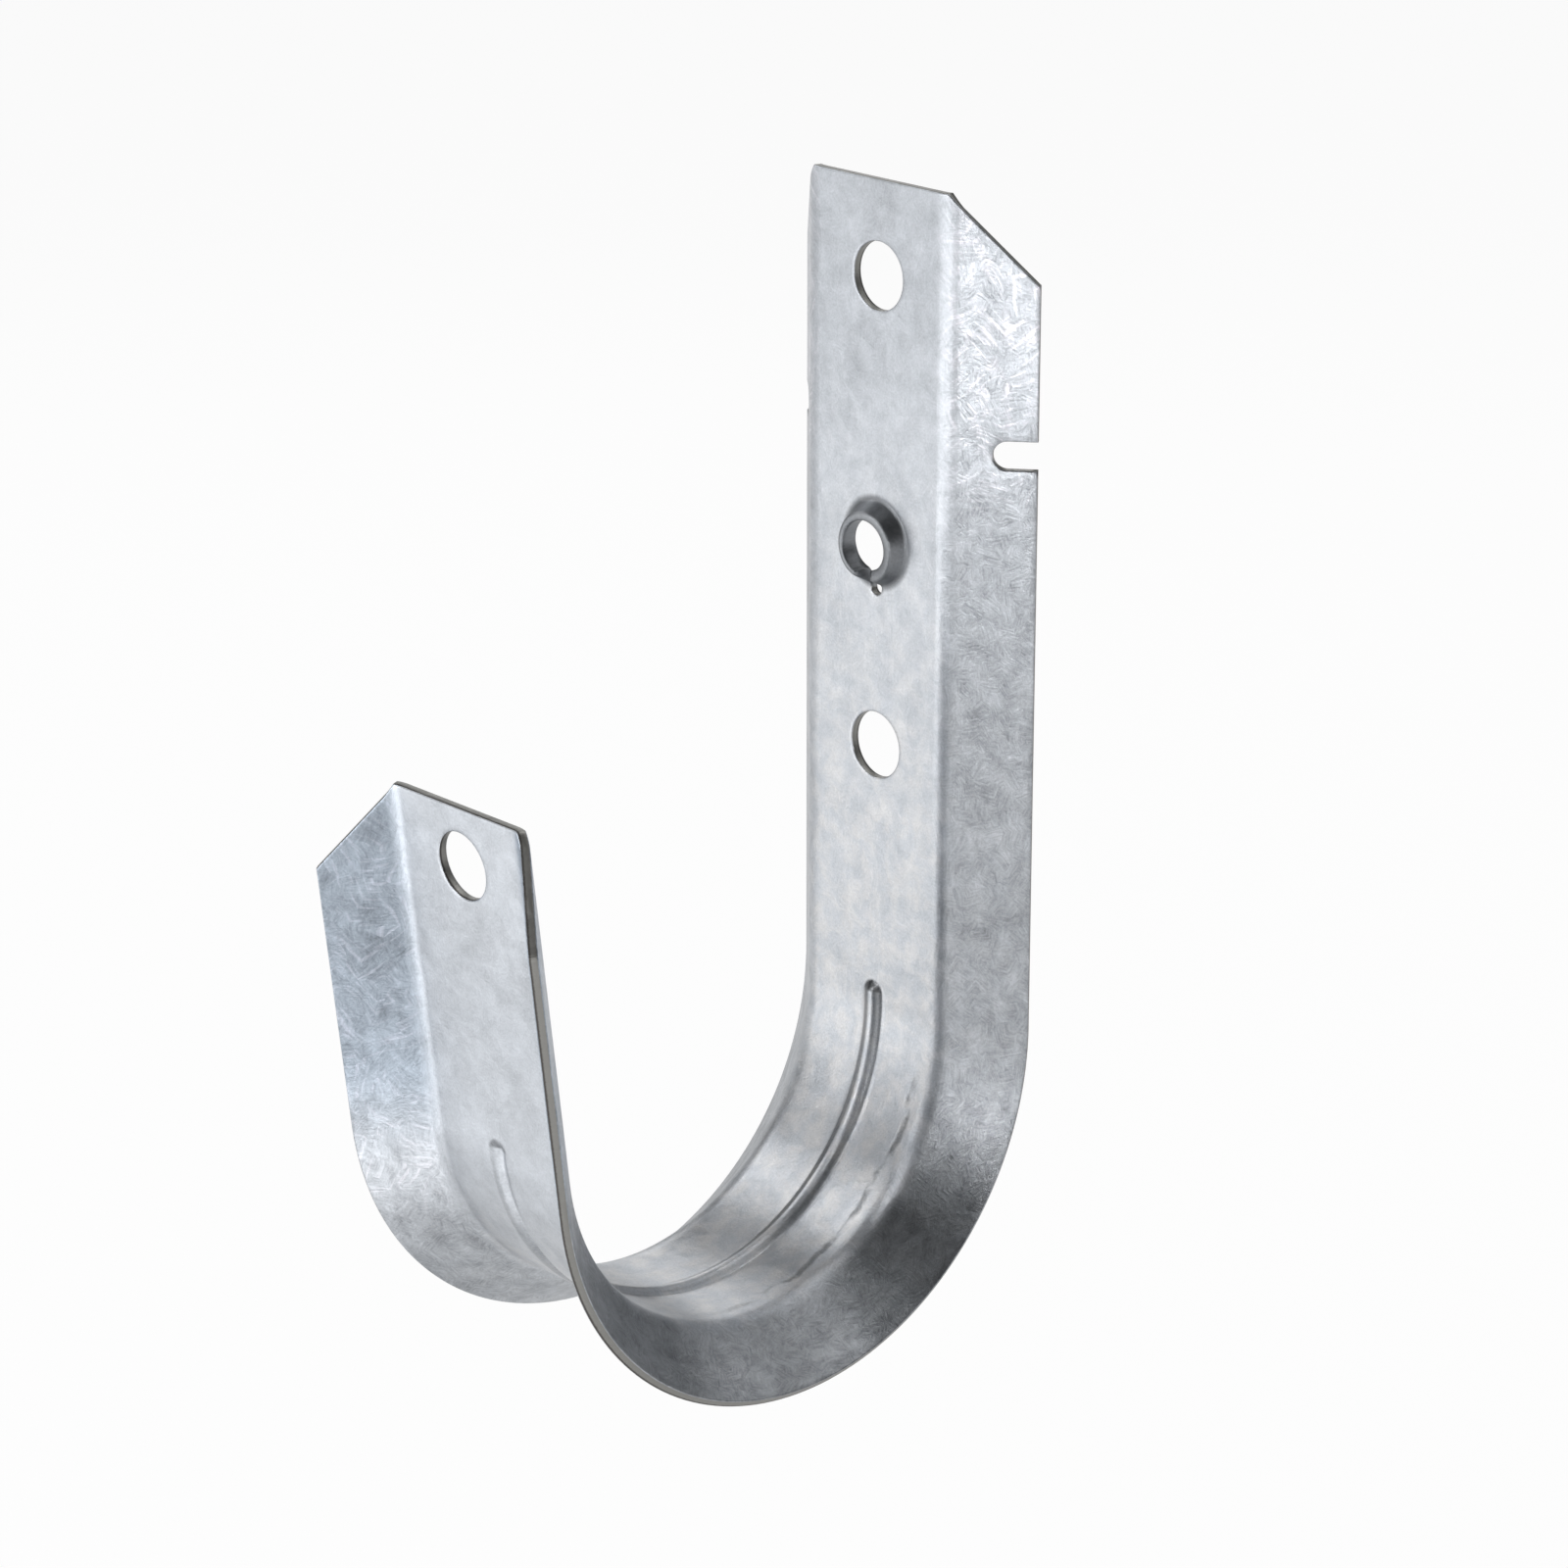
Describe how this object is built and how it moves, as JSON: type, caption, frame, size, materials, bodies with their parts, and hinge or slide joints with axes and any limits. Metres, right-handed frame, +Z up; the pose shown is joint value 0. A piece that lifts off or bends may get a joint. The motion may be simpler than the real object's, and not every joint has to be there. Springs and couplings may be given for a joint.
{
  "type": "j hook cable support",
  "caption": "Folded sheet steel hook whose wide flared loop carries a bundle of data cables from a wall, beam or ceiling bracket.",
  "frame": {"origin": "centre of the upper fixing hole, on the web's face that looks at the cables", "axes": "+X across the sheet, +Y to the wall that the back leg is fixed to, +Z up along the back leg"},
  "size_m": [0.0346, 0.0674, 0.1211],
  "materials": {
    "galvanised_steel": "hot dip galvanised sheet with a satin spangle and bare sheared edges"
  },
  "bodies": {
    "root": {"hook": "galvanised_steel"}
  },
  "joints": []
}
